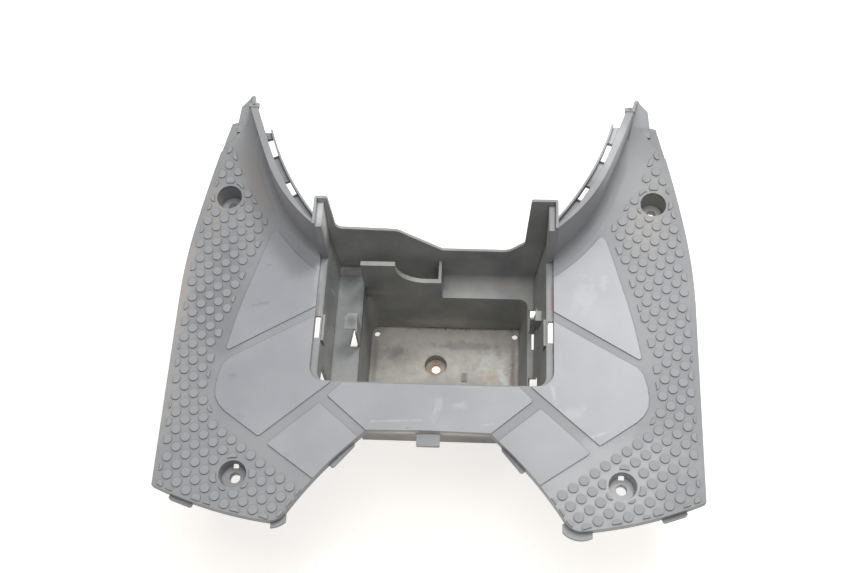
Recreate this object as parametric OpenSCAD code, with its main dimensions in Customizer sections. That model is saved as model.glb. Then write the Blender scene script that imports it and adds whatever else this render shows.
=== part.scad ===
// Floorboard of a small scooter, moulded as one piece.
// Every height below is counted from the flat tread (z = 0); the last line sets the piece on its base.

/* [Tread] */
// Wall thickness of the moulding
wall = 2.5; // [2:0.1:3.2]
// Widest half width of the tread
half_w = 208.7; // [204:0.1:214]
// Half width at the rear outer corners
rear_half_w = 206.6; // [202:0.1:212]
// Station of the rear outer corners
rear_corner_y = -173; // [-178:0.5:-168]
// Station where the outer edge starts to curve in towards the horn
side_curve_y = -10; // [-25:1:5]
// Radius of the curved outer edge
side_curve_r = 469; // [450:1:490]
// Station of the horn's outer corner
horn_end_y = 146.3; // [143:0.1:149]
// Depth of the skirt under the outer edge
skirt_h = 8; // [6:0.5:12]
// Station where the tread starts to sweep up
rise_y = 50; // [45:1:55]
// Radius of the sweep
rise_r = 270; // [250:1:300]
// Step down to the overlap at the horn's tip
overlap_drop = 2; // [1.5:0.1:2.5]
// Length of the tongue past the horn's end
tongue_len = 29.8; // [24:0.1:34]
// Distance from the widest half width to the outer edge of the tongue
tongue_in = 32.5; // [30:0.1:35]

/* [Rear arch and legs] */
// Station of the top of the arch
arch_y = -124; // [-127:0.5:-121]
// Half width of the straight top of the arch
arch_flat = 48; // [44:0.5:52]
// Radius of the inner edge of each leg
leg_edge_r = 286; // [260:1:320]
// Distance from the centre line to the middle of the leg's round end
leg_tip_x = 115; // [113:0.5:117]
// Station of the middle of the leg's round end
leg_tip_y = -184.5; // [-187:0.5:-182]
// Radius of the leg's round end
leg_tip_r = 13; // [11:0.5:14]
// Radius of the rear edge between the leg's end and the outer corner
rear_edge_r = 320; // [290:5:400]
// Thickness of the hooking tabs under the rear edge
tab_t = 3; // [2:0.1:4]
// How far the corner tabs reach past the edge
tab_reach = 3.4; // [2.5:0.1:5]
// How far the hook reaches past the end of the right leg
hook_reach = 5.5; // [4:0.1:7]
// How far the smaller hook reaches past the end of the left leg
left_hook_reach = 3.8; // [3:0.1:5]
// Reach of the tabs on the inner edge of each leg
leg_tab_reach = 3.2; // [2.5:0.1:4]
// Reach of the centre tab
centre_tab_reach = 10.5; // [8:0.1:13]
// Half width of the centre tab
centre_tab_half_w = 9; // [7:0.1:11]

/* [Grip dots] */
// Pitch of the square grid of dots
dot_pitch = 10; // [9.5:0.1:11]
// Turn of the grid against the centre line
dot_turn = 36.03; // [34:0.01:38]
// Diameter of a dot
dot_d = 7.2; // [6:0.1:8]
// Height of a dot
dot_h = 0.9; // [0.6:0.1:1.2]
// Margin between the outer edge and the field of dots
dot_margin = 5.4; // [5:0.1:6]
// Margin between the rear edge and the field of dots
rear_margin = 2; // [1.5:0.1:3]
// Margin between the leg's inner edge and round end and the field of dots
leg_margin = 0.8; // [0.5:0.1:2]
// Least width that a clipped dot keeps
dot_sliver = 1.3; // [1:0.1:2]

/* [Raised panels] */
// Height of the smooth panels
panel_h = 0.8; // [0.5:0.1:1.2]
// Corner radius of the panels
panel_r = 1.8; // [1:0.1:2.5]

/* [Screw cups] */
// Distance of the front screws from the widest half width
front_cup_in = 29.8; // [28:0.1:32]
// Station of the front screws
front_cup_y = 80.3; // [78:0.1:82]
// Depth of the front cups
front_cup_depth = 15; // [12:0.5:18]
// Distance of the rear screws from the half width at the rear corners
rear_cup_in = 60.4; // [58:0.1:63]
// Station of the rear screws
rear_cup_y = -162.6; // [-164:0.1:-161]
// Depth of the rear cups
rear_cup_depth = 10; // [8:0.5:13]
// Radius of a cup's mouth
cup_r = 10.6; // [9.5:0.1:11.5]
// Radius of the screw holes
screw_r = 4.2; // [3.5:0.1:5]
// Length of the tube under a cup's floor
cup_tube = 4; // [3:0.5:5]
// Clear ring without dots round a cup
cup_clear = 2.4; // [2:0.1:3]

/* [Lid ledge and posts] */
// Half width of the seat for the lid
seat_half_w = 95.8; // [95:0.1:97]
// Half width of the opening inside the seat
tray_half_w = 90; // [89:0.1:91]
// Drop of the seat below the tread
seat_drop = 2.5; // [2:0.1:3]
// Near edge of the opening
near_y = -84.3; // [-87:0.1:-82]
// Radius of the opening's near corners
near_corner_r = 8; // [6:0.5:10]
// Station where the seat climbs to the posts
riser_y = 25; // [23:0.5:26]
// Forward lean of the riser over its height
riser_lean = 3; // [2:0.1:4]
// Height of the seat on the posts
post_h = 45; // [42:0.5:48]
// Height of the lip round the posts
lip_h = 50; // [48:0.5:53]
// Width of the lip and of the strip beside the horn
lip_t = 2; // [1.5:0.1:2.5]
// Near end of the clip windows in the seat
clip_window_y = -47; // [-49:0.5:-45]
// Length of the clip windows in the seat
clip_window_len = 19; // [16:0.5:21]

/* [Horn wall and flange] */
// Half distance between the feet of the two horn walls
horn_foot_x = 97.2; // [96.8:0.1:97.6]
// Station of the foot of the horn wall
horn_foot_y = 28.6; // [28:0.1:29.5]
// Distance from the widest half width to the point where the horn wall straightens
horn_bend_in = 70.6; // [69:0.1:72]
// Station of that point
horn_bend_y = 84.6; // [83.5:0.1:85.5]
// Distance from the widest half width to the front end of the horn wall
horn_tip_in = 49.1; // [48:0.1:50]
// Station of the front end of the horn wall
horn_tip_y = 141; // [140:0.1:142]
// Plan radius of the curved foot of the horn wall
horn_foot_r = 150; // [140:1:160]
// Plan radius of the rest of the horn wall
horn_tip_r = 930; // [700:10:1200]
// Radius of the cove between the tread and the horn wall
cove_r = 11; // [8:0.5:13]
// Width of the flange on the wall
flange_w = 6; // [5.5:0.1:6.5]
// Plan radius of the clip strip
strip_r = 256; // [245:1:270]
// Thickness of the clip strip
strip_t = 1.6; // [1.4:0.1:2]
// Width of the channel behind the strip
channel_w = 4.5; // [4:0.1:5]
// Depth of the channel below the flange
channel_depth = 5; // [4:0.5:6]
// Station where the strip starts at the post
strip_foot_y = 38.7; // [38:0.1:40]
// Distance from the front end of the horn wall to the strip's front end
strip_tip_in = 18.7; // [18:0.1:19.5]
// Front end of the right strip
strip_tip_y = 127; // [125:0.5:129]
// Front end of the shorter left strip
left_strip_y = 117; // [115:0.5:119]

/* [Battery box] */
// Left inner face of the battery bay
bay_left = 62.5; // [61:0.1:64]
// Right inner face of the battery bay at the floor
bay_right = 71.4; // [70:0.1:73]
// Outward lean of the right face over its height
bay_lean = 5.4; // [4:0.1:6]
// Far inner face of the battery bay
bay_far_y = 18; // [17:0.1:20]
// Depth of the battery bay below the tread
bay_depth = 118; // [114:0.5:122]
// Depth of the far shelf and the right pocket
shelf_depth = 56; // [52:0.5:60]
// Depth of the left pocket
pocket_depth = 39; // [36:0.5:42]
// Draft of the tray's outer walls, as run over rise
tray_draft = 0.15; // [0.12:0.01:0.18]
// Station of the far wall where it crosses the tread's height
far_wall_y = 44; // [43:0.5:46]
// Top of the high left part of the far wall
far_wall_high = 11; // [9:0.5:13]
// Top of the low part of the far wall, below the tread
far_wall_low = 15.4; // [13:0.1:18]
// Thickness of the screen wall
screen_t = 4; // [3:0.1:5]
// Right end of the screen wall
screen_end_x = 3.2; // [1:0.1:6]
// Drop of the low part of the screen wall
screen_drop = 29; // [26:0.5:32]
// Radius of the sweep between the screen's two heights
screen_r = 24; // [20:0.5:26]
// Screw seat in the floor of the bay, across
seat_screw_x = -3; // [-6:0.5:0]
// Screw seat in the floor of the bay, along
seat_screw_y = -19; // [-22:0.5:-16]
// Radius of that seat
seat_screw_r = 10; // [8:0.5:11]
// Depth of that seat, and of the ribs under the floor
seat_screw_depth = 9; // [7:0.5:11]
// Radius of the screw hole in that seat
seat_hole_r = 4.1; // [3.5:0.1:4.5]
// Radius of the drain holes
drain_r = 2.6; // [2:0.1:3]

/* [Hidden] */
$fn = 48;
PLASTIC = [0.34, 0.35, 0.36];
// Overlap that lets joined features share material
bite = 0.5;
// Level of the tread above the base that the piece rests on
tread_z = bay_depth + wall + seat_screw_depth;
// Rear and front ends of the piece, which centre it on its origin
rear_y = leg_tip_y - leg_tip_r - hook_reach;
tongue_y = horn_end_y + 1.2;
tongue_tip_y = tongue_y + tongue_len;
mid_y = (rear_y + tongue_tip_y) / 2;
// Distances from the centre line that follow from the wing's width
reach_x = max(half_w, rear_half_w) + 5;
tongue_half_w = half_w - tongue_in;
front_cup_x = half_w - front_cup_in;
rear_cup_x = rear_half_w - rear_cup_in;
horn_bend_x = half_w - horn_bend_in;
horn_tip_x = half_w - horn_tip_in;
strip_tip_x = horn_tip_x - strip_tip_in;
far_lean = atan(tray_draft);

// Heights and points on the tread
function rise(y) = y <= rise_y ? 0 : rise_r - sqrt(rise_r * rise_r - (y - rise_y) * (y - rise_y));
function slope(y) = y <= rise_y ? 0 : asin((y - rise_y) / rise_r);
function polar(c, r, a) = c + r * [cos(a), sin(a)];
function arc(c, r, a0, a1, n) = [for (i = [0:n]) polar(c, r, a0 + (a1 - a0) * i / n)];
function centre_of(p, q, r) =
    let (d = norm(q - p), n = [p[1] - q[1], q[0] - p[0]] / d)
    (p + q) / 2 + n * sqrt(r * r - d * d / 4);
function angle_at(c, p) = atan2(p[1] - c[1], p[0] - c[0]);
function on_circle(c, r, y) = [c[0] + sqrt(r * r - (y - c[1]) * (y - c[1])), y];
// Point at a distance inside the wing's outer edge
function from_edge(d, y) = y >= side_curve_y
    ? on_circle(side_c, side_curve_r, y) - [d, 0]
    : [rear_half_w + (half_w - rear_half_w) * (y - rear_corner_y) / (side_curve_y - rear_corner_y) - d, y];

// Circles of the plan outline, right side
side_c = [half_w - side_curve_r, side_curve_y];
leg_tip_c = [leg_tip_x, leg_tip_y];
arch_corner = [arch_flat + 8, arch_y - 9];
leg_tip_a0 = 200;
leg_tip_a1 = 274;
leg_foot = polar(leg_tip_c, leg_tip_r, leg_tip_a0);
leg_end = polar(leg_tip_c, leg_tip_r, leg_tip_a1);
leg_c = centre_of(leg_foot, arch_corner, leg_edge_r);
rear_corner = [rear_half_w, rear_corner_y];
rear_c = centre_of(leg_end, rear_corner, rear_edge_r);
horn_corner = on_circle(side_c, side_curve_r, horn_end_y);
strip_c = centre_of([horn_foot_x, strip_foot_y], [strip_tip_x, strip_tip_y], strip_r);

// Stations along the outer face of the horn wall: centre of the curve, its radius and the angle
horn_foot = [horn_foot_x, horn_foot_y];
horn_bend = [horn_bend_x, horn_bend_y];
horn_tip = [horn_tip_x, horn_tip_y];
foot_c = centre_of(horn_foot, horn_bend, horn_foot_r);
tip_c = centre_of(horn_bend, horn_tip, horn_tip_r);
foot_a = angle_at(foot_c, horn_foot);
function stations(c, r, a, b, n, back = 0) =
    [for (i = [1:n]) [c, r, a + (b - a) * (i - back) / n]];
wall_stations = concat([[foot_c, horn_foot_r, foot_a]],
    stations(foot_c, horn_foot_r, foot_a, angle_at(foot_c, horn_bend), 15),
    stations(tip_c, horn_tip_r, angle_at(tip_c, horn_bend), angle_at(tip_c, horn_tip), 7));
function inward(s, d) = polar(s[0], s[1] - d, s[2]);
// Line at a distance inside the outer face of the horn wall, from its foot to its tip
function wall_line(d) = [for (s = wall_stations) inward(s, d)];
function reversed(v) = [for (i = [len(v) - 1:-1:0]) v[i]];

right_tread = concat(
    [[-1, horn_foot_y], [-1, arch_y], [0, arch_y], [arch_flat, arch_y - 0.8]],
    arc(leg_c, leg_edge_r, angle_at(leg_c, arch_corner), angle_at(leg_c, leg_foot), 9),
    arc(leg_tip_c, leg_tip_r, leg_tip_a0, leg_tip_a1, 8),
    arc(rear_c, rear_edge_r, angle_at(rear_c, leg_end) + 1, angle_at(rear_c, rear_corner), 9),
    arc(side_c, side_curve_r, 0, angle_at(side_c, horn_corner), 14),
    [[tongue_half_w, tongue_y], [horn_tip_x + 1, tongue_y]],
    reversed(wall_line(wall / 2)));

// Edge of the field of dots beside the panels, from the horn to the rear: distance inside the
// wing's outer edge, and station
field_edge = [for (p = [[14.9, 118], [28.3, 97], [43.3, 78.5], [58.9, 60], [61.3, 50], [59.2, 38],
    [55.5, 24], [51.4, 8], [47.2, -10], [43.5, -25], [38.9, -45], [34.9, -70], [32.3, -92],
    [33.5, -101], [38.4, -112.5], [44.1, -120.2]]) from_edge(p[0], p[1])];
field_tip = on_circle(side_c, side_curve_r - dot_margin, horn_end_y - 15.3);
leg_edge_a = angle_at(leg_c, leg_foot);
right_field = concat(
    arc(leg_c, leg_edge_r + leg_margin, leg_edge_a + 4.5, leg_edge_a, 3),
    arc(leg_tip_c, leg_tip_r - leg_margin, leg_tip_a0, leg_tip_a1, 5),
    arc(rear_c, rear_edge_r - rear_margin, angle_at(rear_c, leg_end) + 1,
        angle_at(rear_c, rear_corner + [-dot_margin, rear_margin]), 7),
    arc(side_c, side_curve_r - dot_margin, 0, angle_at(side_c, field_tip), 8),
    field_edge,
    [leg_tip_c + [-16.5, 17.2]]);
cups = [[front_cup_x, front_cup_y], [rear_cup_x, rear_cup_y]];

// Dots of the grid that touch the field, sorted into whole ones and clipped ones
function seg_dist(p, a, b) =
    let (t = max(0, min(1, ((p - a) * (b - a)) / ((b - a) * (b - a)))))
    norm(p - a - t * (b - a));
function edge_dist(p, pts) =
    min([for (i = [0:len(pts) - 1]) seg_dist(p, pts[i], pts[(i + 1) % len(pts)])]);
function crosses(p, a, b) =
    ((a[1] > p[1]) != (b[1] > p[1]))
    && p[0] < (b[0] - a[0]) * (p[1] - a[1]) / (b[1] - a[1]) + a[0] ? 1 : 0;
function total(v, i = 0) = i >= len(v) ? 0 : v[i] + total(v, i + 1);
function inside(p, pts) =
    total([for (i = [0:len(pts) - 1]) crosses(p, pts[i], pts[(i + 1) % len(pts)])]) % 2 == 1;
function cup_gap(p) = min([for (c = cups) norm(p - c)]) - cup_r - cup_clear;
grid_a = dot_pitch * [cos(dot_turn), sin(dot_turn)];
grid_b = dot_pitch * [sin(dot_turn), -cos(dot_turn)];
grid_start = [101.5, -171.3];
dot_r = dot_d / 2;
grid = [for (i = [-2:28]) for (j = [-24:10]) grid_start + i * grid_a + j * grid_b];
near_dots = [for (p = grid)
    if ((inside(p, right_field) || edge_dist(p, right_field) < dot_r - dot_sliver)
        && cup_gap(p) > dot_sliver - dot_r) p];
whole_dots = [for (p = near_dots)
    if (inside(p, right_field) && edge_dist(p, right_field) >= dot_r && cup_gap(p) >= dot_r) p];
clipped_dots = [for (p = near_dots)
    if (!(inside(p, right_field) && edge_dist(p, right_field) >= dot_r && cup_gap(p) >= dot_r)) p];

// Outline with every corner rounded
function corner(p, q, r0, r, n = 6) =
    let (a = (p - q) / norm(p - q), b = (r0 - q) / norm(r0 - q), half = acos(a * b) / 2,
        c = q + (a + b) / norm(a + b) * r / sin(half), t = r / tan(half),
        u = angle_at(c, q + a * t), v = angle_at(c, q + b * t),
        turn = v - u > 180 ? v - u - 360 : v - u < -180 ? v - u + 360 : v - u)
    [for (i = [0:n]) polar(c, r, u + turn * i / n)];
function rounded(pts, r) = let (m = len(pts))
    [for (i = [0:m - 1]) each corner(pts[(i + m - 1) % m], pts[i], pts[(i + 1) % m], r)];

module both_sides() {
    children();
    mirror([1, 0, 0]) children();
}

module along_y(y0, y1) {
    translate([0, y1, 0]) rotate([90, 0, 0]) linear_extrude(y1 - y0) children();
}

module along_x(x0, x1) {
    translate([x0, 0, 0]) rotate([90, 0, 90]) linear_extrude(x1 - x0) children();
}

// Slab that follows the tread between two levels
module sweep_band(top, bottom) {
    along_x(-reach_x, reach_x) {
        translate([rear_y - 20, bottom]) square([rise_y - rear_y + 20, top - bottom]);
        intersection() {
            translate([rise_y, bottom]) square([150, 100]);
            translate([rise_y, rise_r]) difference() {
                circle(r = rise_r - bottom, $fn = 720);
                circle(r = rise_r - top, $fn = 720);
            }
        }
    }
}

module tread_2d() {
    polygon(right_tread);
    mirror([1, 0]) polygon(right_tread);
}

// Corner of the horn that the next fairing overlaps, right side
overlap_a = [horn_tip_x + 6.4, tongue_y];
overlap_b = from_edge(4.1, horn_end_y - 18.8);
module overlap_2d(grow = 0) {
    d = (overlap_b - overlap_a) / norm(overlap_b - overlap_a);
    n = [-d[1], d[0]];
    p = overlap_a - 12 * d - grow * n;
    q = overlap_b + 12 * d - grow * n;
    polygon([p, q, q + 40 * n, p + 40 * n]);
}

module tread_skin() {
    difference() {
        intersection() {
            translate([0, 0, -skirt_h]) linear_extrude(60) tread_2d();
            sweep_band(0, -wall);
        }
        both_sides() intersection() {
            translate([0, 0, -skirt_h]) linear_extrude(60) overlap_2d();
            sweep_band(wall, -overlap_drop);
        }
    }
    both_sides() intersection() {
        translate([0, 0, -skirt_h]) linear_extrude(60) intersection() {
            polygon(right_tread);
            overlap_2d(wall);
        }
        sweep_band(-overlap_drop, -overlap_drop - wall);
    }
}

module edge_skirt() {
    difference() {
        intersection() {
            translate([0, 0, -skirt_h]) linear_extrude(60) difference() {
                tread_2d();
                offset(delta = -wall) tread_2d();
            }
            sweep_band(-bite, -skirt_h);
        }
        both_sides() intersection() {
            translate([0, 0, -skirt_h]) linear_extrude(60) overlap_2d();
            sweep_band(wall, -overlap_drop - bite);
        }
    }
}

// Flat tongue in front of the horn, with the horn wall running down along it to its point
tongue_tip = [horn_tip_x + 8.6, tongue_tip_y];
module tongue() {
    top = rise(tongue_y) - overlap_drop - 1.5;
    along = tongue_tip - horn_tip;
    translate([0, 0, top - wall]) linear_extrude(wall) polygon([
        [horn_tip_x - 1, horn_tip_y - wall], [tongue_half_w + 1, horn_tip_y - wall],
        [tongue_half_w + 1, tongue_y + 1], [tongue_half_w, tongue_y + tongue_len * 0.59],
        [tongue_half_w - 6.2, tongue_tip_y - 4], tongue_tip]);
    translate([horn_tip_x, horn_tip_y, 0]) rotate([0, 0, -angle_at([0, 0], [along[1], along[0]])])
        along_x(-wall, 0) polygon([
            [-wall, top - wall], [norm(along) - 1.5, top - wall], [norm(along) - 1.5, top + 1.5],
            [0, lip_h - channel_depth], [-wall, lip_h - channel_depth]]);
}

module grip_dot(p) {
    translate([p[0], p[1], rise(p[1])]) rotate([slope(p[1]), 0, 0])
        translate([0, 0, -bite]) cylinder(r = dot_r, h = bite + dot_h, $fn = 24);
}

module grip_dots() {
    for (p = whole_dots) grip_dot(p);
    intersection() {
        union() for (p = clipped_dots) grip_dot(p);
        translate([0, 0, -wall]) linear_extrude(60) difference() {
            polygon(right_field);
            for (c = cups) translate(c) circle(r = cup_r + cup_clear);
        }
    }
}

module panel(pts) {
    translate([0, 0, -bite]) linear_extrude(bite + panel_h) polygon(rounded(pts, panel_r));
}

// Outer edges of the two panels beside the opening: distance inside the wing's edge, and station
far_panel_edge = [for (p = [[66.5, 46], [63.2, 28], [58.5, 5], [53.6, -14], [50, -28],
    [47.3, -42], [43.5, -62.2]]) from_edge(p[0], p[1])];
near_panel_edge = [for (p = [[48, -67.2], [42.9, -73], [40.2, -84], [39.3, -93], [40.2, -101],
    [43.9, -107.5], [48.9, -112.5], [77.1, -132.3]]) from_edge(p[0], p[1])];
horn_gap = 13.7;
under_seat = 6;
module side_panels() {
    panel_x = seat_half_w - under_seat;
    panel(concat([[panel_x, 8.5]],
        arc(foot_c, horn_foot_r + horn_gap, foot_a - 3.3, foot_a + 14.8, 5),
        far_panel_edge, [[panel_x, -16.8]]));
    panel(concat([[panel_x, -25.6]], near_panel_edge,
        [[78.6, -86.3], [78.6, -78], [panel_x, -78]]));
    intersection() {
        panel([[85.5, -103.6], [123, -138], [83.3, -165.6], [60, -182], [30, -150.5]]);
        translate([0, 0, -wall]) linear_extrude(2 * wall) polygon(right_tread);
    }
}

module centre_panel() {
    intersection() {
        panel([[69, -86.2], [80, -97.3], [48, -124.8], [38, -140],
            [-38, -140], [-48, -124.8], [-80, -97.3], [-69, -86.2]]);
        translate([0, 0, -wall]) linear_extrude(2 * wall) tread_2d();
    }
}

module horn_wall() {
    translate([0, 0, -skirt_h]) linear_extrude(skirt_h + lip_h - bite)
        polygon(concat(wall_line(0), reversed(wall_line(wall))));
}

// Concave cove that blends the tread into the wall, following the sweep of the tread and
// fading out towards the horn's tip; its stations lie half way between those of the wall
cove_n = 8;
cove_sink = 0.18;
cove_fade = 3;
cove_stations = concat(
    [for (a = [-6, -3]) [foot_c, horn_foot_r, foot_a + a]],
    stations(foot_c, horn_foot_r, foot_a, angle_at(foot_c, horn_bend), 15, 0.5),
    stations(tip_c, horn_tip_r, angle_at(tip_c, horn_bend), angle_at(tip_c, horn_tip), 7, 0.5));
cove_last = len(cove_stations) - 1;
function cove_point(s, d, up) = let (p = inward(s, d)) [p[0], p[1], rise(p[1]) + up];
function cove_section(s, r) = concat(
    [cove_point(s, wall / 2, r)],
    [for (i = [0:cove_n]) let (a = 90 * i / cove_n)
        cove_point(s, cove_sink - r * (1 - cos(a)), r * (1 - sin(a)) - cove_sink)],
    [cove_point(s, cove_sink - r, -wall / 2)],
    [cove_point(s, wall / 2, -wall / 2)]);
module cove() {
    m = cove_n + 4;
    pts = [for (k = [0:cove_last])
        each cove_section(cove_stations[k], min(cove_r, 2 + cove_fade * (cove_last - k)))];
    skin = [for (k = [0:cove_last - 1]) for (i = [0:m - 1])
        let (a = k * m + i, b = k * m + (i + 1) % m)
        each [[a, b + m, b], [a, a + m, b + m]]];
    first = [for (i = [1:m - 2]) [0, i, i + 1]];
    e = cove_last * m;
    last = [for (i = [1:m - 2]) [e, e + i + 1, e + i]];
    intersection() {
        polyhedron(points = pts, faces = concat(skin, first, last));
        translate([seat_half_w, 0, -skirt_h]) cube([100, tongue_y, lip_h]);
    }
}

// Plan of the flange on top of the wall; inset moves its inner edge outwards
module flange_2d(inset = 0) {
    difference() {
        polygon(concat(wall_line(0), reversed(wall_line(flange_w - inset))));
        translate(strip_c) circle(r = strip_r + strip_t + channel_w + inset, $fn = 720);
    }
}

module channel_2d(end_y) {
    intersection() {
        difference() {
            polygon(concat(wall_line(wall), reversed(wall_line(20))));
            translate(strip_c) circle(r = strip_r + bite, $fn = 720);
        }
        translate([horn_foot_x - bite, 0]) square([120, end_y]);
    }
}

module strip_2d(end_y) {
    intersection() {
        translate(strip_c) difference() {
            circle(r = strip_r + strip_t, $fn = 720);
            circle(r = strip_r, $fn = 720);
        }
        translate([horn_foot_x - bite, 0]) square([120, end_y]);
    }
}

// Windows through the channel, from station to station, with a stop at each end
strip_windows = [[54.9, 67.4], [91.6, 109]];
window_stop = 0.8;
module window_2d(w, grow = 0) {
    r = strip_r + strip_t + channel_w;
    intersection() {
        translate(strip_c) difference() {
            circle(r = r, $fn = 720);
            circle(r = strip_r + strip_t, $fn = 720);
        }
        polygon([strip_c, strip_c + 2 * (on_circle(strip_c, r, w[0] - grow) - strip_c),
            strip_c + 2 * (on_circle(strip_c, r, w[1] + grow) - strip_c)]);
    }
}

module horn_flange(end_y) {
    floor_z = lip_h - channel_depth;
    translate([0, 0, lip_h - wall]) linear_extrude(wall) flange_2d();
    translate([0, 0, floor_z - strip_t]) linear_extrude(channel_depth + strip_t - bite)
        difference() {
            flange_2d();
            flange_2d(strip_t);
        }
    difference() {
        union() {
            translate([0, 0, floor_z - strip_t]) linear_extrude(strip_t) channel_2d(end_y);
            for (w = strip_windows)
                translate([0, 0, floor_z - bite]) linear_extrude(channel_depth / 2) difference() {
                    window_2d(w, window_stop);
                    window_2d(w);
                }
        }
        for (w = strip_windows)
            translate([0, 0, floor_z - 2 * strip_t]) linear_extrude(channel_depth) window_2d(w);
    }
    translate([0, 0, floor_z - strip_t]) linear_extrude(channel_depth + strip_t) strip_2d(end_y);
    horn_end_eye();
}

// Eye at the front end of the flange
eye_l = 8.4;
eye_w = 4;
eye_h = 3;
eye_r = 1.2;
module horn_end_eye() {
    eye = [horn_tip_x - eye_l / 2 + 0.8, horn_tip_y + 0.4];
    difference() {
        translate([eye[0] - eye_l / 2, eye[1] - eye_w / 2, lip_h - eye_h + bite])
            cube([eye_l, eye_w, eye_h]);
        translate([eye[0], eye[1], lip_h - 2 * eye_h]) cylinder(r = eye_r, h = 3 * eye_h);
    }
}

// Seat for the lid: a ledge round the opening that climbs to the two posts
function opening(x, y0, r, y1) = concat([[x, y1], [-x, y1]],
    corner([-x, y1], [-x, y0], [x, y0], r), corner([-x, y0], [x, y0], [x, y1], r));
near_seat_w = 0.7;
seat_near_y = near_y - near_seat_w;
seat_corner_r = near_corner_r + 4;
module seat_cut() {
    translate([0, 0, -seat_drop]) linear_extrude(100)
        polygon(opening(seat_half_w, seat_near_y, seat_corner_r, 3 * horn_foot_y));
    translate([0, 0, -skirt_h - 1]) linear_extrude(100)
        polygon(opening(tray_half_w, near_y, near_corner_r, 3 * horn_foot_y));
}

module seat_ledge() {
    far = riser_y + wall;
    translate([0, 0, -seat_drop - wall]) linear_extrude(wall) difference() {
        polygon(opening(seat_half_w + wall, seat_near_y - wall, seat_corner_r + wall, far));
        polygon(opening(tray_half_w, near_y, near_corner_r, far + wall));
    }
    translate([0, 0, -seat_drop - bite]) linear_extrude(seat_drop) difference() {
        polygon(opening(seat_half_w + wall, seat_near_y - wall, seat_corner_r + wall, far));
        polygon(opening(seat_half_w, seat_near_y, seat_corner_r, far + wall));
    }
}

module post() {
    top_y = riser_y + riser_lean;
    end_y = far_wall_y + tray_draft * post_h + wall / 2;
    along_x(tray_half_w, horn_foot_x) polygon([
        [riser_y, -seat_drop - wall], [riser_y + wall, -seat_drop - wall],
        [top_y + wall, post_h], [top_y, post_h]]);
    translate([tray_half_w, top_y, post_h - wall])
        cube([horn_foot_x - tray_half_w, end_y - top_y, wall]);
    translate([horn_foot_x - lip_t, top_y, post_h - wall])
        cube([lip_t, end_y - top_y, lip_h - post_h + wall]);
    along_x(tray_half_w, tray_half_w + wall) polygon([
        [riser_y, -seat_drop - wall], [far_wall_y, -seat_drop - wall],
        [end_y, post_h - bite], [top_y, post_h - bite]]);
}

// Inner faces of the tray's outer walls at a depth
function tray_x(z) = tray_half_w + min(0, tray_draft * (z + seat_drop));

// Cross-section of the space over the shelf and in the two pockets
module tray_section(top) {
    polygon([
        [-tray_half_w, top], [-tray_half_w, -seat_drop],
        [-tray_x(-pocket_depth), -pocket_depth], [-bay_left, -pocket_depth],
        [-bay_left, -shelf_depth], [tray_x(-shelf_depth), -shelf_depth],
        [tray_half_w, -seat_drop], [tray_half_w, top]]);
}

// Cross-section of the battery bay
module bay_section(top) {
    polygon([
        [-bay_left, top], [-bay_left, -bay_depth], [bay_right, -bay_depth],
        [bay_right + bay_lean, -shelf_depth], [bay_right + bay_lean, top]]);
}

module beyond_far_wall(depth) {
    translate([0, far_wall_y, 0]) rotate([-far_lean, 0, 0])
        translate([-150, depth, -200]) cube([300, 200, 300]);
}

bay_corner_r = 7;
module tray() {
    difference() {
        union() {
            along_y(near_y - wall, bay_far_y + wall) intersection() {
                offset(delta = wall) bay_section(-shelf_depth);
                translate([-150, -200]) square([300, 200 - pocket_depth]);
            }
            along_y(near_y - wall, far_wall_y + 5) intersection() {
                offset(delta = wall) tray_section(-seat_drop);
                translate([-150, -200]) square([300, 200 - seat_drop - wall / 2]);
            }
        }
        along_y(near_y, far_wall_y + 20) tray_section(20);
        intersection() {
            along_y(near_y, bay_far_y) bay_section(-shelf_depth + 1);
            translate([0, 0, -bay_depth - 1]) linear_extrude(bay_depth)
                polygon(rounded([[-bay_left, near_y], [bay_right + bay_lean, near_y],
                    [bay_right + bay_lean, bay_far_y], [-bay_left, bay_far_y]], bay_corner_r));
        }
        beyond_far_wall(wall / 2);
    }
}

// Far wall of the tray, leaning forward, with its stepped top edge
module far_wall() {
    s = 1 / cos(far_lean);
    side = tray_half_w + wall;
    pocket_x = -tray_x(-pocket_depth) - wall;
    shelf_x = tray_x(-shelf_depth) + wall;
    plateau = far_wall_high - 1;
    top = concat(
        corner([-horn_foot_x, 0], [-horn_foot_x, lip_h * s], [-87, lip_h * s], 2),
        corner([-horn_foot_x, lip_h * s], [-87, lip_h * s], [-84.5, 19], 2),
        corner([-87, lip_h * s], [-83.5, plateau + 2], [-36, plateau], 6),
        corner([-78, plateau + 1.5], [-33, plateau], [4, 0.5 - far_wall_low], 10),
        corner([-33, plateau], [4, 0.5 - far_wall_low], [60, -far_wall_low], 6),
        corner([4, 0.5 - far_wall_low], [60, -far_wall_low], [72.5, -3], 12),
        corner([60, -far_wall_low], [72.5, -4], [76.3, lip_h * s], 3),
        corner([72.5, -4], [76.3, lip_h * s], [horn_foot_x, lip_h * s], 2),
        corner([76.3, lip_h * s], [horn_foot_x, lip_h * s], [horn_foot_x, 0], 2));
    translate([0, far_wall_y, 0]) rotate([90 - far_lean, 0, 0]) translate([0, 0, -wall])
        linear_extrude(wall) polygon(concat(
            [[-side, -seat_drop], [-side, post_h * s - wall], [-horn_foot_x, post_h * s - wall]],
            top, [[horn_foot_x, post_h * s - wall], [side, post_h * s - wall], [side, -seat_drop],
            [shelf_x, (-shelf_depth - wall) * s], [-bay_left - wall, (-shelf_depth - wall) * s],
            [-bay_left - wall, (-pocket_depth - wall) * s],
            [pocket_x, (-pocket_depth - wall) * s]]));
}

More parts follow.
